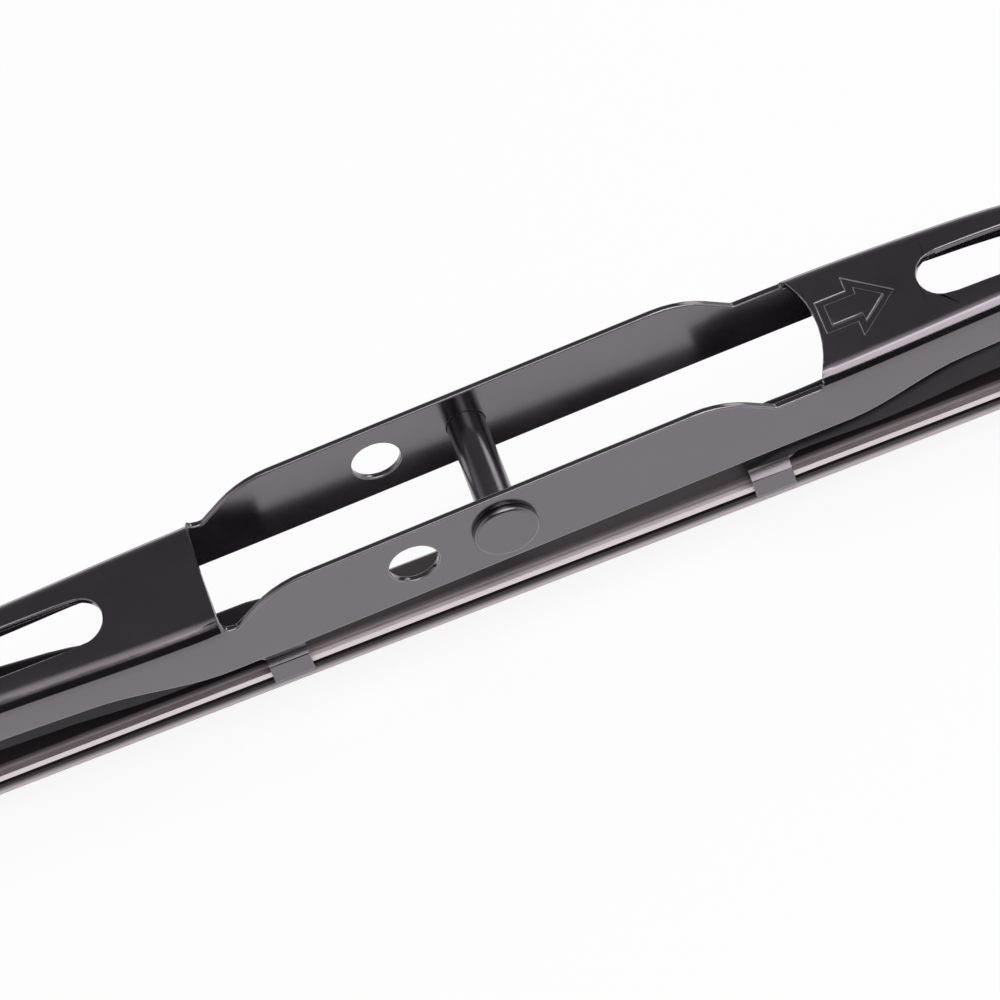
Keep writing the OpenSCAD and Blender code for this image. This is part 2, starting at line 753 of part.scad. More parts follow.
module yoke_liner() {
    translate([yoke_pivot, 0, 0])
        liner(yoke_liner_len, yoke_half, bridge_end_z - bridge_t - slip,
            yoke_crest - yoke_boss_depth + liner_lift, bridge_r - bridge_t + slip,
            [yoke_rivet_d + 2 * slip, yoke_pivot_z]);
}

module end_liner() {
    translate([end_pivot, 0, 0])
        liner(end_liner_len, end_half, yoke_end_z - yoke_t - slip,
            end_crest - end_boss_depth + liner_lift, yoke_r - yoke_t + slip,
            [end_rivet_d + 2 * slip, end_pivot_z]);
}

module yoke_liner_left() {
    color([0.08, 0.08, 0.08])
        on_side(-1)
            yoke_liner();
}

module yoke_liner_right() {
    color([0.08, 0.08, 0.08])
        on_side(1)
            yoke_liner();
}

module end_liner_left() {
    color([0.08, 0.08, 0.08])
        on_side(-1)
            end_liner();
}

module end_liner_right() {
    color([0.08, 0.08, 0.08])
        on_side(1)
            end_liner();
}

// Rubber and rails, drawn from the blade's middle

rail_in = core_w / 2 + slip;
rail_len = blade_len - 2 * rail_inset;
key_x = rail_len / 2 - key_inset - key_len / 2;

module rail(side) {
    translate([mid_x, 0, rail_low])
        linear_extrude(height = rail_t)
            difference() {
                translate([-rail_len / 2, side > 0 ? rail_in : -rail_half])
                    square([rail_len, rail_half - rail_in]);
                for (end = [-1, 1])
                    translate([end * key_x, side * rail_in])
                        square([key_len, 2 * key_depth], center = true);
            }
}

module rail_front() {
    color([0.75, 0.75, 0.77])
        rail(-1);
}

module rail_rear() {
    color([0.75, 0.75, 0.77])
        rail(1);
}

// Half outline of the squeegee from its top down to the wiping edge
function rubber_half() = let (
        head = head_w / 2,
        core = core_w / 2,
        lip = lip_w / 2,
        sh = shoulder_w / 2,
        hinge = hinge_t / 2,
        z0 = rail_z + slip,
        z1 = rail_low - slip,
        z2 = z1 - lip_t,
        z3 = z2 - groove_h,
        z4 = z3 - shoulder_h,
        z5 = z4 - slope_h,
        z6 = z5 - hinge_h,
        z7 = z6 - edge_h,
        k = rubber_corner
    ) [
        [head - k, rail_z + head_h], [head, rail_z + head_h - k], [head, z0], [core, z0], [core, z1],
        [lip, z1], [lip, z2 + k], [lip - k, z2], [core + k, z2 - groove_h / 2], [sh - k, z3],
        [sh, z3 - k], [sh, z4 + k], [sh - k, z4], [hinge, z5], [hinge, z6 + k / 3],
        [edge_root_w / 2, z6 - k], [edge_tip_w / 2, z7]
    ];

module wiping_rubber() {
    color([0.18, 0.17, 0.17])
        translate([mid_x, 0, 0]) {
            rotate([90, 0, 90])
                linear_extrude(height = blade_len, center = true)
                    polygon(concat(rubber_half(), reversed(mirrored(rubber_half()))));
            for (end = [-1, 1])
                translate([end * key_x, 0, (rail_z + rail_low) / 2])
                    cube([key_len - 2 * slip, core_w + 2 * key_depth - 2 * slip, rail_t + 4 * slip],
                        center = true);
        }
}

main_bridge();
cross_pin();
yoke_left();
yoke_right();
end_yoke_left();
end_yoke_right();
yoke_rivet_left();
yoke_rivet_right();
end_rivet_left();
end_rivet_right();
yoke_liner_left();
yoke_liner_right();
end_liner_left();
end_liner_right();
rail_front();
rail_rear();
wiping_rubber();
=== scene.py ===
"""Looks of a pressed steel wiper blade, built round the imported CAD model.

Lengths are in metres in the CAD model's frame: +X along the blade, +Y along the cross pin,
+Z away from the glass.
"""
import json
import logging
import math
from dataclasses import dataclass
from enum import Enum

import bmesh
import bpy
from mathutils import Matrix, Vector
from mathutils.bvhtree import BVHTree

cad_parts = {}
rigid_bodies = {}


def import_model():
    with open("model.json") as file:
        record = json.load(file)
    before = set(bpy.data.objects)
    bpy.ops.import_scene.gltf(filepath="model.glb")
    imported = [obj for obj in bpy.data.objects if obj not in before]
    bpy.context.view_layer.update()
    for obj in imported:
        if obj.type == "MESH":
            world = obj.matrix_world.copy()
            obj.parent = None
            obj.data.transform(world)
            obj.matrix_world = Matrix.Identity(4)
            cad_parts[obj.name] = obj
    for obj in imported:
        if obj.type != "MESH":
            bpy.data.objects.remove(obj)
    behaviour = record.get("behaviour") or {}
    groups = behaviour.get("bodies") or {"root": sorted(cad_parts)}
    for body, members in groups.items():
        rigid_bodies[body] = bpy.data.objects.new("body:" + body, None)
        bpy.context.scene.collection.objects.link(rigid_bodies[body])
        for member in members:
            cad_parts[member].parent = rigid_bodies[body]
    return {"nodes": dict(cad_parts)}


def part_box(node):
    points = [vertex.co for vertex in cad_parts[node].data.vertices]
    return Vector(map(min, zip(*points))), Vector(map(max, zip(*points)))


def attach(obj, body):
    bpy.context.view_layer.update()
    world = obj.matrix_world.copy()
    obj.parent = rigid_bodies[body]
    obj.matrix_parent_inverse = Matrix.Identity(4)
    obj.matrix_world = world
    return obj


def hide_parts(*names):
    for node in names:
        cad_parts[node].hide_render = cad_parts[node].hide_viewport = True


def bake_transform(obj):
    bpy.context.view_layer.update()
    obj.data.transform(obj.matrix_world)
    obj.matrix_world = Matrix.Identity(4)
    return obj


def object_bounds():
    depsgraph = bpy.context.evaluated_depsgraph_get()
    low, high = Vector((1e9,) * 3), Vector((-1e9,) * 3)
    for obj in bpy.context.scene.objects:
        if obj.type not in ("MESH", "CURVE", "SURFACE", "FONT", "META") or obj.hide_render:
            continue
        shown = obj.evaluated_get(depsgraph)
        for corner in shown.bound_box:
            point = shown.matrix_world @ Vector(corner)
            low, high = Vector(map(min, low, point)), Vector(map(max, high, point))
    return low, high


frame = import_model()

CAD_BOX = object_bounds()
LOG = logging.getLogger("wiper_blade")
MM = 0.001

# Points closer than this are merged, and faces flatter than this become one
MERGE_MM = 0.01
FLAT_DEG = 0.05
# Two triangles within these angles of a flat square become one quad, which keeps the bends' strips even
QUAD_FACE_DEG = 4.0
QUAD_SHAPE_DEG = 60.0
# A neighbour that runs this nearly along an edge (cosine) and is creased this much pinches it
BESIDE_COS = 0.9
CREASE_DEG = 5.0
# A level edge climbs less than this share of its length
LEVEL_CLIMB = 0.3
# Share of the shortest neighbouring edge that a rounding may take up, and the same down a soft wall
ROOM_SHARE = 0.4
SOFT_SHARE = 0.85
# A rounding along a bend's shallow edge turns less than this from the sheet
BEND_TURN_DEG = 12.5
# Shading is smooth below this angle, and the larger faces set it by this weight
SMOOTH_DEG = 50.0
FACE_WEIGHT = 80


class Side(Enum):
    """The two ends of the blade, by the sign of X."""

    LEFT = -1
    RIGHT = 1

    @property
    def word(self) -> str:
        """The side's name as it stands in the CAD nodes' names."""
        return self.name.lower()


def linear(hex_colour: str) -> tuple[float, float, float, float]:
    """Turns an sRGB hex colour into the linear values that the shaders take.

    Args:
        hex_colour: Six hex digits, with or without a leading #.

    Returns:
        Red, green, blue and alpha, linear.
    """
    digits = hex_colour.lstrip("#")
    parts = [int(digits[i:i + 2], 16) / 255 for i in (0, 2, 4)]
    red, green, blue = (c / 12.92 if c <= 0.04045 else ((c + 0.055) / 1.055) ** 2.4 for c in parts)
    return red, green, blue, 1.0


def add_node(tree: bpy.types.NodeTree, kind: str, settings: dict | None = None,
             links: dict | None = None) -> bpy.types.Node:
    """Adds one node to a tree.

    Args:
        tree: The node tree.
        kind: The node's type name.
        settings: Values by socket name or index, or by attribute name.
        links: Output sockets by input socket name or index.

    Returns:
        The new node.
    """
    node = tree.nodes.new(kind)
    for key, value in (settings or {}).items():
        if isinstance(key, str) and hasattr(node, key):
            setattr(node, key, value)
        else:
            node.inputs[key].default_value = value
    for key, output in (links or {}).items():
        tree.links.new(output, node.inputs[key])
    return node


def blank_material(name: str) -> tuple[bpy.types.Material, bpy.types.NodeTree, bpy.types.Node]:
    """Makes a material with an empty tree and an output.

    Args:
        name: The material's name.

    Returns:
        The material, its tree and its output node.
    """
    material = bpy.data.materials.new(name)
    material.use_nodes = True
    material.node_tree.nodes.clear()
    return material, material.node_tree, add_node(material.node_tree, "ShaderNodeOutputMaterial")


def stretched(tree: bpy.types.NodeTree, size_mm: tuple[float, float, float]) -> bpy.types.NodeSocket:
    """Object coordinates scaled so that one unit is the given size in millimetres along each axis.

    Args:
        tree: The node tree.
        size_mm: The pattern's size along X, Y and Z.

    Returns:
        The vector output.
    """
    coordinates = add_node(tree, "ShaderNodeTexCoord")
    mapping = add_node(tree, "ShaderNodeMapping", {"Scale": tuple(1000 / s for s in size_mm)},
                       {"Vector": coordinates.outputs["Object"]})
    return mapping.outputs["Vector"]


def up_axis(tree: bpy.types.NodeTree) -> bpy.types.NodeSocket:
    """The height of a point, from its Object coordinates."""
    coordinates = add_node(tree, "ShaderNodeTexCoord")
    return add_node(tree, "ShaderNodeSeparateXYZ", {}, {0: coordinates.outputs["Object"]}).outputs[2]


@dataclass(frozen=True)
class BlackPaint:
    """Black epoxy electrocoat, baked on pressed steel.

    The film is even and semi-gloss with a faint orange peel. It stays black where it faces the dark of
    the room and turns a violet grey where an upright face mirrors the pale floor.
    """

    # Dust and handling cloud the colour over a centimetre or so; the peel's ripples are under a millimetre
    name: str = "baked_black_epoxy_electrocoat"
    colour: str = "#100e11"
    dust: str = "#19171a"
    tint: str = "#fff0fe"
    roughness: float = 0.16
    rough_spread: tuple[float, float] = (-0.03, 0.04)
    ior: float = 2.15
    film: float = 0.5
    film_roughness: float = 0.1
    film_ior: float = 1.6
    cloud_mm: tuple[float, float, float] = (14.0, 9.0, 9.0)
    peel_mm: float = 0.7
    peel_height: float = 0.04
    dull_above_mm: float | None = None
    dull_fade_mm: float = 0.1
    dull_roughness: float = 0.45
    dull_ior: float = 1.38

    def build(self) -> bpy.types.Material:
        """Makes the material."""
        material, tree, out = blank_material(self.name)
        cloud = add_node(tree, "ShaderNodeTexNoise", {"Scale": 1.0, "Detail": 3.0, "Roughness": 0.6},
                         {"Vector": stretched(tree, self.cloud_mm)})
        tint = add_node(tree, "ShaderNodeMix",
                        {"data_type": "RGBA", 6: linear(self.colour), 7: linear(self.dust)})
        ramp = add_node(tree, "ShaderNodeMapRange",
                        {"From Min": 0.35, "From Max": 0.7, "To Min": 0.0, "To Max": 1.0},
                        {"Value": cloud.outputs[0]})
        tree.links.new(ramp.outputs[0], tint.inputs[0])
        rough = add_node(tree, "ShaderNodeMapRange",
                         {"From Min": 0.3, "From Max": 0.7, "To Min": self.roughness + self.rough_spread[0],
                          "To Max": self.roughness + self.rough_spread[1]},
                         {"Value": cloud.outputs[0]})
        peel = add_node(tree, "ShaderNodeTexNoise", {"Scale": 1.0, "Detail": 2.0, "Roughness": 0.5},
                        {"Vector": stretched(tree, (self.peel_mm,) * 3)})
        bump = add_node(tree, "ShaderNodeBump", {"Strength": self.peel_height, "Distance": 0.1 * MM},
                        {"Height": peel.outputs[0]})
        shader = add_node(tree, "ShaderNodeBsdfPrincipled",
                          {"Metallic": 0.0, "IOR": self.ior, "Specular Tint": linear(self.tint),
                           "Coat Weight": self.film, "Coat Roughness": self.film_roughness,
                           "Coat IOR": self.film_ior},
                          {"Base Color": tint.outputs[2], "Roughness": rough.outputs[0],
                           "Normal": bump.outputs[0]})
        if self.dull_above_mm is not None:
            self.dull(tree, shader)
        tree.links.new(shader.outputs[0], out.inputs["Surface"])
        return material

    def dull(self, tree: bpy.types.NodeTree, shader: bpy.types.Node) -> None:
        """Dulls the paint above a height: rougher, lower in index and without its coat, so that the levers'
        upper sides mirror less and look darker.

        Args:
            tree: The material's tree.
            shader: Its shader.
        """
        low = (self.dull_above_mm - self.dull_fade_mm) * MM
        high = (self.dull_above_mm + self.dull_fade_mm) * MM
        height = up_axis(tree)
        for socket, gloss, dull in (("Roughness", self.roughness, self.dull_roughness),
                                    ("IOR", self.ior, self.dull_ior), ("Coat Weight", self.film, 0.0)):
            blend = add_node(tree, "ShaderNodeMapRange",
                             {"From Min": low, "From Max": high, "To Min": gloss, "To Max": dull},
                             {"Value": height})
            tree.links.new(blend.outputs[0], shader.inputs[socket])


@dataclass(frozen=True)
class RolledSteel:
    """Stainless spring strip, rolled bright, with fine lines along its length."""

    # The mill's lines are a few hundredths of a millimetre wide, and are drawn coarser to show
    name: str = "rolled_stainless_spring_strip"
    colour: str = "#e4dadd"
    roughness: float = 0.5
    rough_spread: tuple[float, float] = (-0.06, 0.1)
    line_mm: float = 0.12
    line_run_mm: float = 60.0

    def build(self) -> bpy.types.Material:
        """Makes the material."""
        material, tree, out = blank_material(self.name)
        lines = add_node(tree, "ShaderNodeTexNoise", {"Scale": 1.0, "Detail": 3.0, "Roughness": 0.6},
                         {"Vector": stretched(tree, (self.line_run_mm, self.line_mm, self.line_mm))})
        rough = add_node(tree, "ShaderNodeMapRange",
                         {"From Min": 0.3, "From Max": 0.7, "To Min": self.roughness + self.rough_spread[0],
                          "To Max": self.roughness + self.rough_spread[1]},
                         {"Value": lines.outputs[0]})
        bump = add_node(tree, "ShaderNodeBump", {"Strength": 0.1, "Distance": 0.05 * MM},
                        {"Height": lines.outputs[0]})
        shader = add_node(tree, "ShaderNodeBsdfPrincipled",
                          {"Base Color": linear(self.colour), "Metallic": 1.0},
                          {"Roughness": rough.outputs[0], "Normal": bump.outputs[0]})
        tree.links.new(shader.outputs[0], out.inputs["Surface"])
        return material


@dataclass(frozen=True)
class GraphiteRubber:
    """Extruded natural rubber with a graphite coating: satin, with fine drawn lines along its length.

    Its colour is painted by height: painted shade on the head's top under the levers and in the slots under
    the rails, and painted reflection of the pale floor on the head's sides and the shoulders.
    """

    # Heights in millimetres above the cross pin, each with the colour painted there: painted shade on the
    # head under the levers and in the slots under the rails, and painted reflection of the floor on the
    # head's sides and the shoulders. The die's lines are finer than drawn here, and are widened to show.
    name: str = "extruded_rubber_with_graphite"
    bands: tuple[tuple[float, str], ...] = (
        (-24.0, "#8a7f82"), (-21.5, "#d0c4c8"), (-19.9, "#d6cacd"), (-19.35, "#7c7073"), (-18.95, "#241d20"),
        (-17.0, "#2a2225"), (-16.4, "#b3a7aa"), (-15.9, "#85797c"), (-15.55, "#3b3134"), (-15.0, "#332a2d"))
    streak: float = 0.35
    roughness: float = 0.42
    ior: float = 1.6
    line_mm: float = 0.22
    line_run_mm: float = 90.0

    def build(self) -> bpy.types.Material:
        """Makes the material."""
        material, tree, out = blank_material(self.name)
        lines = add_node(tree, "ShaderNodeTexNoise", {"Scale": 1.0, "Detail": 4.0, "Roughness": 0.65},
                         {"Vector": stretched(tree, (self.line_run_mm, self.line_mm, self.line_mm))})
        (low, low_colour), (high, high_colour) = self.bands[0], self.bands[-1]
        place = add_node(tree, "ShaderNodeMapRange", {"From Min": low * MM, "From Max": high * MM},
                         {"Value": up_axis(tree)})
        # This ramp paints shade and reflection into the rubber's colour by height.
        painted_shading_ramp = add_node(tree, "ShaderNodeValToRGB", {}, {0: place.outputs[0]})
        stops = painted_shading_ramp.color_ramp.elements
        stops[0].color, stops[1].color = linear(low_colour), linear(high_colour)
        for height, colour in self.bands[1:-1]:
            stops.new((height - low) / (high - low)).color = linear(colour)
        ramp = add_node(tree, "ShaderNodeMapRange",
                        {"From Min": 0.35, "From Max": 0.7, "To Min": 1.0 - self.streak,
                         "To Max": 1.0 + self.streak},
                        {"Value": lines.outputs[0]})
        tint = add_node(tree, "ShaderNodeVectorMath", {"operation": "SCALE"},
                        {0: painted_shading_ramp.outputs[0], "Scale": ramp.outputs[0]})
        bump = add_node(tree, "ShaderNodeBump", {"Strength": 0.25, "Distance": 0.05 * MM},
                        {"Height": lines.outputs[0]})
        shader = add_node(tree, "ShaderNodeBsdfPrincipled",
                          {"Metallic": 0.0, "Roughness": self.roughness, "IOR": self.ior},
                          {"Base Color": tint.outputs[0], "Normal": bump.outputs[0]})
        tree.links.new(shader.outputs[0], out.inputs["Surface"])
        return material


@dataclass(frozen=True)
class Acetal:
    """Moulded black acetal, smooth and slightly waxy."""

    # The mould's eroded grain is about a third of a millimetre
    name: str = "moulded_black_acetal"
    colour: str = "#222123"
    grain_mm: float = 0.3

    def build(self) -> bpy.types.Material:
        """Makes the material."""
        material, tree, out = blank_material(self.name)
        grain = add_node(tree, "ShaderNodeTexNoise", {"Scale": 1.0, "Detail": 2.0},
                         {"Vector": stretched(tree, (self.grain_mm,) * 3)})
        rough = add_node(tree, "ShaderNodeMapRange", {"To Min": 0.38, "To Max": 0.5},
                         {"Value": grain.outputs[0]})
        bump = add_node(tree, "ShaderNodeBump", {"Strength": 0.08, "Distance": 0.05 * MM},
                        {"Height": grain.outputs[0]})
        shader = add_node(tree, "ShaderNodeBsdfPrincipled",
                          {"Base Color": linear(self.colour), "Metallic": 0.0, "IOR": 1.48},
                          {"Roughness": rough.outputs[0], "Normal": bump.outputs[0]})
        tree.links.new(shader.outputs[0], out.inputs["Surface"])
        return material


def deselect_all() -> None:
    """Leaves object mode with nothing selected."""
    if bpy.context.object and bpy.context.object.mode != "OBJECT":
        bpy.ops.object.mode_set(mode="OBJECT")
    for item in bpy.context.view_layer.objects:
        item.select_set(False)


def make_active(piece: bpy.types.Object) -> None:
    """Selects one piece alone and makes it active."""
    deselect_all()
    piece.select_set(True)
    bpy.context.view_layer.objects.active = piece


def copied(node: str, name: str) -> bpy.types.Object:
    """Copies a CAD node's mesh into a new piece, with its loose triangles merged.

    Args:
        node: The CAD node.
        name: The new piece's name.

    Returns:
        The new piece.
    """
    mesh = frame["nodes"][node].data.copy()
    mesh.name = name
    mesh.materials.clear()
    piece = bpy.data.objects.new(name, mesh)
    bpy.context.scene.collection.objects.link(piece)
    make_active(piece)
    bpy.ops.object.mode_set(mode="EDIT")
    bpy.ops.mesh.select_all(action="SELECT")
    bpy.ops.mesh.remove_doubles(threshold=MERGE_MM * MM)
    bpy.ops.mesh.dissolve_limited(angle_limit=math.radians(FLAT_DEG), delimit=set())
    bpy.ops.mesh.tris_convert_to_quads(face_threshold=math.radians(QUAD_FACE_DEG),
                                       shape_threshold=math.radians(QUAD_SHAPE_DEG))
    bpy.ops.object.mode_set(mode="OBJECT")
    if mesh.has_custom_normals:
        bpy.ops.mesh.customdata_custom_splitnormals_clear()
    return piece


def pinched(edge: bmesh.types.BMEdge) -> bool:
    """Tells whether another creased edge leaves one of this edge's ends in nearly the same direction.

    Args:
        edge: The edge.

    Returns:
        True if rounding the edge would draw out a spike there.
    """
    for vertex in edge.verts:
        along = (edge.other_vert(vertex).co - vertex.co).normalized()
        for other in vertex.link_edges:
            beside = along.dot((other.other_vert(vertex).co - vertex.co).normalized()) > BESIDE_COS
            if other != edge and beside and other.calc_face_angle(0.0) > math.radians(CREASE_DEG):
                return True
    return False


def inside(point: Vector, box: tuple[Vector, Vector]) -> bool:
    """Tells whether a point lies between a box's two corners."""
    return all(low < value < high for low, value, high in zip(box[0], point, box[1]))


def level(edge: bmesh.types.BMEdge) -> bool:
    """Tells whether an edge runs nearly level."""
    return abs(edge.verts[0].co.z - edge.verts[1].co.z) < LEVEL_CLIMB * edge.calc_length()


def round_edges(piece: bpy.types.Object, width_mm: float, angle_deg: float = 32.0, segments: int = 2,
                soft: tuple[Vector, Vector] | None = None) -> None:
    """Rounds the sharp edges of a piece, less where they lie close together.

    Args:
        piece: The piece.
        width_mm: Width of the rounded edges.
        angle_deg: Edges sharper than this are rounded.
        segments: Faces across each rounded edge.
        soft: Corners of a box in which only level outer edges are rounded, over nearly all the wall below.
    """
    width, sharp = width_mm * MM, math.radians(angle_deg)
    work = bmesh.new()
    work.from_mesh(piece.data)
    weight = work.edges.layers.float.new("bevel_weight_edge")
    for edge in work.edges:
        if edge.calc_face_angle(0.0) > sharp and not pinched(edge):
            near = {other for vertex in edge.verts for other in vertex.link_edges}
            if soft and all(inside(vertex.co, soft) for vertex in edge.verts):
                room = min((ROOM_SHARE if level(other) else SOFT_SHARE) * other.calc_length()
                           for other in near)
                room *= edge.is_convex and level(edge)
            else:
                room = min(ROOM_SHARE * other.calc_length() for other in near)
            edge[weight] = min(1.0, room / width)
    work.to_mesh(piece.data)
    work.free()
    make_active(piece)
    bevel = piece.modifiers.new("edge_round", "BEVEL")
    bevel.width = width
    bevel.segments = segments
    bevel.limit_method = "WEIGHT"
    bevel.use_clamp_overlap = False
    # The rounded faces take the last finish given, which on the bridge is the painted edge highlight.
    bevel.material = len(piece.data.materials) - 1
    bpy.ops.object.modifier_apply(modifier="edge_round")


def repaint_bends(piece: bpy.types.Object, node: str) -> None:
    """Gives the first finish back to the rounded faces that lie along a bend's shallow edges, so that the
    painted edge highlight stays off the bends.

    Args:
        piece: The piece, with its edges rounded.
        node: The CAD node that it follows.
    """
    mesh = frame["nodes"][node].data
    tree = BVHTree.FromPolygons([v.co for v in mesh.vertices], [f.vertices for f in mesh.polygons])
    for face in piece.data.polygons:
        normal = tree.find_nearest(face.center)[1]
        if face.normal.angle(normal, math.pi) < math.radians(BEND_TURN_DEG):
            face.material_index = 0


def settle_normals(piece: bpy.types.Object) -> None:
    """Keeps the flat faces flat and shades the bends and rounded edges smooth."""
    make_active(piece)
    bpy.ops.object.shade_smooth_by_angle(angle=math.radians(SMOOTH_DEG))
    weigh = piece.modifiers.new("flat_normals", "WEIGHTED_NORMAL")
    weigh.keep_sharp = True
    weigh.weight = FACE_WEIGHT
    bpy.ops.object.modifier_apply(modifier="flat_normals")


@dataclass
class PressedPart:
    """One pressed sheet or turned part that rides whole on one body."""

    node: str
    body: str
    slot: str
    edge_mm: float = 0.24
    angle_deg: float = 32.0
    segments: int = 3
    soft: tuple[Vector, Vector] | None = None

    def build(self, *finishes: bpy.types.Material) -> bpy.types.Object:
        """Builds the part over its CAD node.

        Args:
            *finishes: The finish, and, where it differs, the finish of the rounded edges, which on the
                       bridge is a painted highlight.

        Returns:
            The piece.
        """
        piece = copied(self.node, f"{self.node}_finished")
        for finish in finishes:
            piece.data.materials.append(finish)
        round_edges(piece, self.edge_mm, self.angle_deg, self.segments, self.soft)
        repaint_bends(piece, self.node)
        settle_normals(piece)
        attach(piece, self.body)
        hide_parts(self.node)
        LOG.info("%s: %d faces", piece.name, len(piece.data.polygons))
        return piece


@dataclass
class Extrusion:
    """A strip along the blade, cut into runs between the claws."""

    node: str
    slot: str
    middle: float = 0.0011
    claws: tuple[float, float] = (0.03215, 0.10985)
    step: float = 0.0085
    edge_mm: float = 0.06
    angle_deg: float = 25.0
    past_end: float = 0.01

    def cut(self, piece: bpy.types.Object, x: float, keep_above: bool | None) -> None:
        """Bisects the piece with a plane across the blade.

        Args:
            piece: The piece.
            x: Place of the plane.
            keep_above: True keeps what lies towards +X, False what lies towards -X, None keeps both.
        """
        make_active(piece)
        bpy.ops.object.mode_set(mode="EDIT")
        bpy.ops.mesh.select_all(action="SELECT")
        bpy.ops.mesh.bisect(plane_co=(x, 0, 0), plane_no=(1, 0, 0), use_fill=keep_above is not None,
                            clear_inner=keep_above is True, clear_outer=keep_above is False)
        bpy.ops.object.mode_set(mode="OBJECT")

    def run(self, side: Side, index: int, x0: float, x1: float,
            master: bpy.types.Object) -> bpy.types.Object:
        """Copies the stretch of the strip from x0 to x1, with rings along the two inner stretches.

        Args:
            side: The end of the blade.
            index: The stretch, counted outwards.
            x0: Start along X.
            x1: End along X.
            master: The whole strip.

        Returns:
            The stretch.
        """
        piece = bpy.data.objects.new(f"{self.node}_{side.word}_{index}", master.data.copy())
        bpy.context.scene.collection.objects.link(piece)
        low, high = min(x0, x1), max(x0, x1)
        self.cut(piece, low, True)
        self.cut(piece, high, False)
        count = max(2, round((high - low) / self.step))
        if index < 3:
            for i in range(1, count):
                self.cut(piece, low + (high - low) * i / count, None)
        settle_normals(piece)
        return piece

    def build(self, material: bpy.types.Material) -> None:
        """Builds both sides' runs, and lets the outermost run on each side ride on its end lever.

        Args:
            material: The finish.
        """
        master = copied(self.node, f"{self.node}_master")
        master.data.materials.append(material)
        round_edges(master, self.edge_mm, self.angle_deg)
        inner, outer = self.claws
        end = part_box(self.node)[1].x - self.middle + self.past_end
        for side in Side:
            places = [self.middle + side.value * d for d in (0.0, inner, outer, end)]
            yoke, end_yoke = f"{side.word}_yoke", f"{side.word}_end_yoke"
            pairs = [("bridge", yoke), (yoke, end_yoke), None]
            for index, pair in enumerate(pairs, 1):
                x0, x1 = places[index - 1], places[index]
                piece = self.run(side, index, x0, x1, master)
                if pair:
                    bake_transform(piece)
                else:
                    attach(piece, end_yoke)
                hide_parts(self.node)
                LOG.info("%s: %d faces", piece.name, len(piece.data.polygons))
        bpy.data.objects.remove(master)


@dataclass(frozen=True)
class SoftBox:
    """One soft box, with its place and size in metres, that faces the blade."""

    name: str
    place: tuple[float, float, float]
    size: tuple[float, float]
    watts: float

    def hang(self) -> None:
        """Adds the lamp to the scene."""
        data = bpy.data.lights.new(self.name, "AREA")
        data.shape = "RECTANGLE"
        data.size, data.size_y = self.size
        data.energy = self.watts
        lamp = bpy.data.objects.new(self.name, data)
        lamp.location = self.place
        lamp.rotation_euler = (-Vector(self.place)).to_track_quat("-Z", "Y").to_euler()
        bpy.context.scene.collection.objects.link(lamp)


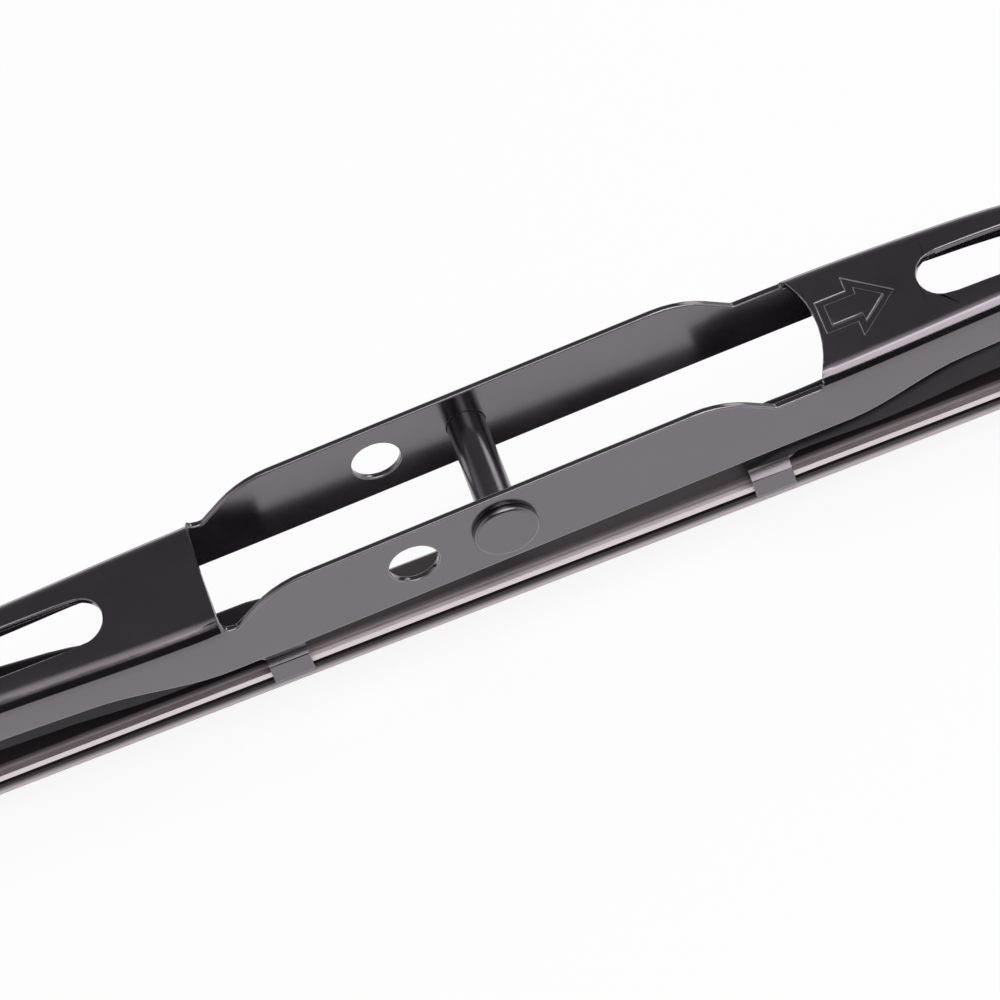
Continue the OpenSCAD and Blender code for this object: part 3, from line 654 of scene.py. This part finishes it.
@dataclass
class Studio:
    """A white sweep under soft light, and the camera."""

    floor_gap: float = 0.0002
    floor_side: float = 6.0
    floor_cells: int = 8
    floor_colour: str = "#f4f4f5"
    floor_white: float = 0.9
    lamps: tuple[SoftBox, ...] = (SoftBox("overhead_box", (0.35, -0.26, 0.9), (1.1, 0.74), 7.6),
                                  SoftBox("rim_box", (0.76, 0.74, 0.55), (0.3, 0.4), 0.7))
    dim: float = 0.15
    front_dark: float = 0.02
    side_glow: float = 0.7
    top_glow: float = 1.2
    back_glow: float = 0.25
    azimuth: float = 0.04
    elevation: float = 51.6
    roll: float = -21.11
    distance: float = 0.8
    focal_px: float = 6462.6
    target: tuple[float, float, float] = (0.000557, 0.0, -0.006182)
    sensor_mm: float = 36.0
    frame_px: int = 1000
    clip: tuple[float, float] = (0.01, 20.0)

    def place_camera(self) -> None:
        """Sets the camera from the photo's measured view."""
        azimuth, elevation, roll = (math.radians(v) for v in (self.azimuth, self.elevation, self.roll))
        back = Vector((math.sin(azimuth) * math.cos(elevation), -math.cos(azimuth) * math.cos(elevation),
                       math.sin(elevation)))
        right = (-back).cross(Vector((0, 0, 1))).normalized()
        up = back.cross(right)
        across = math.cos(roll) * right + math.sin(roll) * up
        upright = back.cross(across)
        turn = Matrix((across, upright, back)).transposed().to_4x4()
        data = bpy.data.cameras.new("camera")
        data.sensor_width = self.sensor_mm
        data.lens = self.focal_px / self.frame_px * self.sensor_mm
        data.clip_start, data.clip_end = self.clip
        camera = bpy.data.objects.new("camera", data)
        camera.matrix_world = Matrix.Translation(Vector(self.target) + back * self.distance) @ turn
        bpy.context.scene.collection.objects.link(camera)
        bpy.context.scene.camera = camera

    def place_floor(self) -> None:
        """Lays the white paper that the blade's lip stands on."""
        deselect_all()
        low = CAD_BOX[0][2] - self.floor_gap
        bpy.ops.mesh.primitive_grid_add(x_subdivisions=self.floor_cells, y_subdivisions=self.floor_cells,
                                        size=self.floor_side, location=(0, 0, low))
        floor = bpy.context.object
        floor.name = "white_floor"
        material, tree, out = blank_material("white_paper")
        paper = add_node(tree, "ShaderNodeBsdfDiffuse", {"Color": linear(self.floor_colour)})
        bright = add_node(tree, "ShaderNodeEmission", {"Color": (1, 1, 1, 1), "Strength": 1.0})
        path = add_node(tree, "ShaderNodeLightPath")
        direct = add_node(tree, "ShaderNodeMath", {"operation": "MAXIMUM"},
                          {0: path.outputs["Is Camera Ray"], 1: path.outputs["Is Transmission Ray"]})
        seen = add_node(tree, "ShaderNodeMath", {"operation": "MAXIMUM"},
                        {0: direct.outputs[0], 1: path.outputs["Is Glossy Ray"]})
        share = add_node(tree, "ShaderNodeMath", {"operation": "MULTIPLY", 1: self.floor_white},
                         {0: seen.outputs[0]})
        mix = add_node(tree, "ShaderNodeMixShader", {},
                       {0: share.outputs[0], 1: paper.outputs[0], 2: bright.outputs[0]})
        tree.links.new(mix.outputs[0], out.inputs["Surface"])
        floor.data.materials.append(material)

    def light_world(self) -> None:
        """Fills the scene from above and the sides, with a dim front and back, and white to the camera."""
        world = bpy.data.worlds.new("studio")
        bpy.context.scene.world = world
        world.use_nodes = True
        tree = world.node_tree
        tree.nodes.clear()
        out = add_node(tree, "ShaderNodeOutputWorld")
        toward = add_node(tree, "ShaderNodeTexCoord")
        axes = add_node(tree, "ShaderNodeSeparateXYZ", {}, {0: toward.outputs["Generated"]})
        sideways = add_node(tree, "ShaderNodeMath", {"operation": "ABSOLUTE"}, {0: axes.outputs[0]})
        bands = ((axes.outputs[1], -0.75, -0.45, self.front_dark, self.dim),
                 (axes.outputs[1], 0.8, 0.95, 0.0, self.back_glow),
                 (sideways.outputs[0], 0.45, 0.95, 0.0, self.side_glow),
                 (axes.outputs[2], 0.88, 0.99, 0.0, self.top_glow))
        parts = [add_node(tree, "ShaderNodeMapRange",
                          {"interpolation_type": "SMOOTHSTEP", "From Min": start, "From Max": end,
                           "To Min": low, "To Max": high},
                          {"Value": axis}).outputs[0] for axis, start, end, low, high in bands]
        glow = add_node(tree, "ShaderNodeMath", {"operation": "ADD"}, {0: parts[0], 1: parts[1]})
        for part in parts[2:]:
            glow = add_node(tree, "ShaderNodeMath", {"operation": "ADD"}, {0: glow.outputs[0], 1: part})
        around = add_node(tree, "ShaderNodeBackground", {"Color": (1, 1, 1, 1)},
                          {"Strength": glow.outputs[0]})
        white = add_node(tree, "ShaderNodeBackground", {"Color": (1, 1, 1, 1), "Strength": 1.0})
        path = add_node(tree, "ShaderNodeLightPath")
        mix = add_node(tree, "ShaderNodeMixShader", {},
                       {0: path.outputs["Is Camera Ray"], 1: around.outputs[0], 2: white.outputs[0]})
        tree.links.new(mix.outputs[0], out.inputs["Surface"])

    def build(self) -> None:
        """Sets up the camera, the floor and the light."""
        self.place_camera()
        self.place_floor()
        self.light_world()
        for lamp in self.lamps:
            lamp.hang()


def main() -> None:
    """Builds the blade's pieces in order and lights them."""
    logging.basicConfig(level=logging.INFO, format="%(message)s")
    bpy.context.scene.view_settings.view_transform = "Standard"
    Studio().build()
    paint = BlackPaint().build()
    # The rounded edges take a grey copy of the paint: a painted highlight along them.
    painted_edge_highlight = BlackPaint("baked_black_epoxy_electrocoat_thin_on_edges", colour="#57535a",
                            dust="#6e6a70").build()
    # Brushed enamel on a turned pin is a deeper black, a little bluish and softer in its gloss
    pin_paint = BlackPaint("black_enamel_on_turned_steel", colour="#08080a", dust="#0e0e11",
                           tint="#fcf1ff", roughness=0.24).build()
    lever_paint = BlackPaint("baked_black_epoxy_electrocoat_on_levers", dull_above_mm=-13.4).build()
    steel = RolledSteel().build()
    rubber = GraphiteRubber().build()
    acetal = Acetal().build()
    # The pressed arrow's walls lie within this box, and its upper edges are rounded the most
    arrow = (Vector((0.0445, -0.0055, 0.0)), Vector((0.0555, 0.0055, 0.01)))
    lever_mm, pin_mm, small_mm = 0.16, 0.12, 0.1
    PressedPart("main_bridge", "bridge", "frame_paint", angle_deg=18.0, soft=arrow).build(paint, painted_edge_highlight)
    PressedPart("cross_pin", "bridge", "pin_paint", pin_mm).build(pin_paint)
    for side in Side:
        word = side.word
        PressedPart(f"yoke_{word}", f"{word}_yoke", "frame_paint", lever_mm).build(lever_paint)
        PressedPart(f"end_yoke_{word}", f"{word}_end_yoke", "frame_paint", lever_mm).build(lever_paint)
        PressedPart(f"yoke_rivet_{word}", "bridge", "rivet_paint", small_mm).build(paint)
        PressedPart(f"end_rivet_{word}", f"{word}_yoke", "rivet_paint", small_mm).build(paint)
        PressedPart(f"yoke_liner_{word}", "bridge", "liner_plastic", small_mm).build(acetal)
        PressedPart(f"end_liner_{word}", f"{word}_yoke", "liner_plastic", small_mm).build(acetal)
    Extrusion("wiping_rubber", "wiper_rubber").build(rubber)
    Extrusion("rail_front", "rail_steel").build(steel)
    Extrusion("rail_rear", "rail_steel").build(steel)


if __name__ == "__main__":
    main()
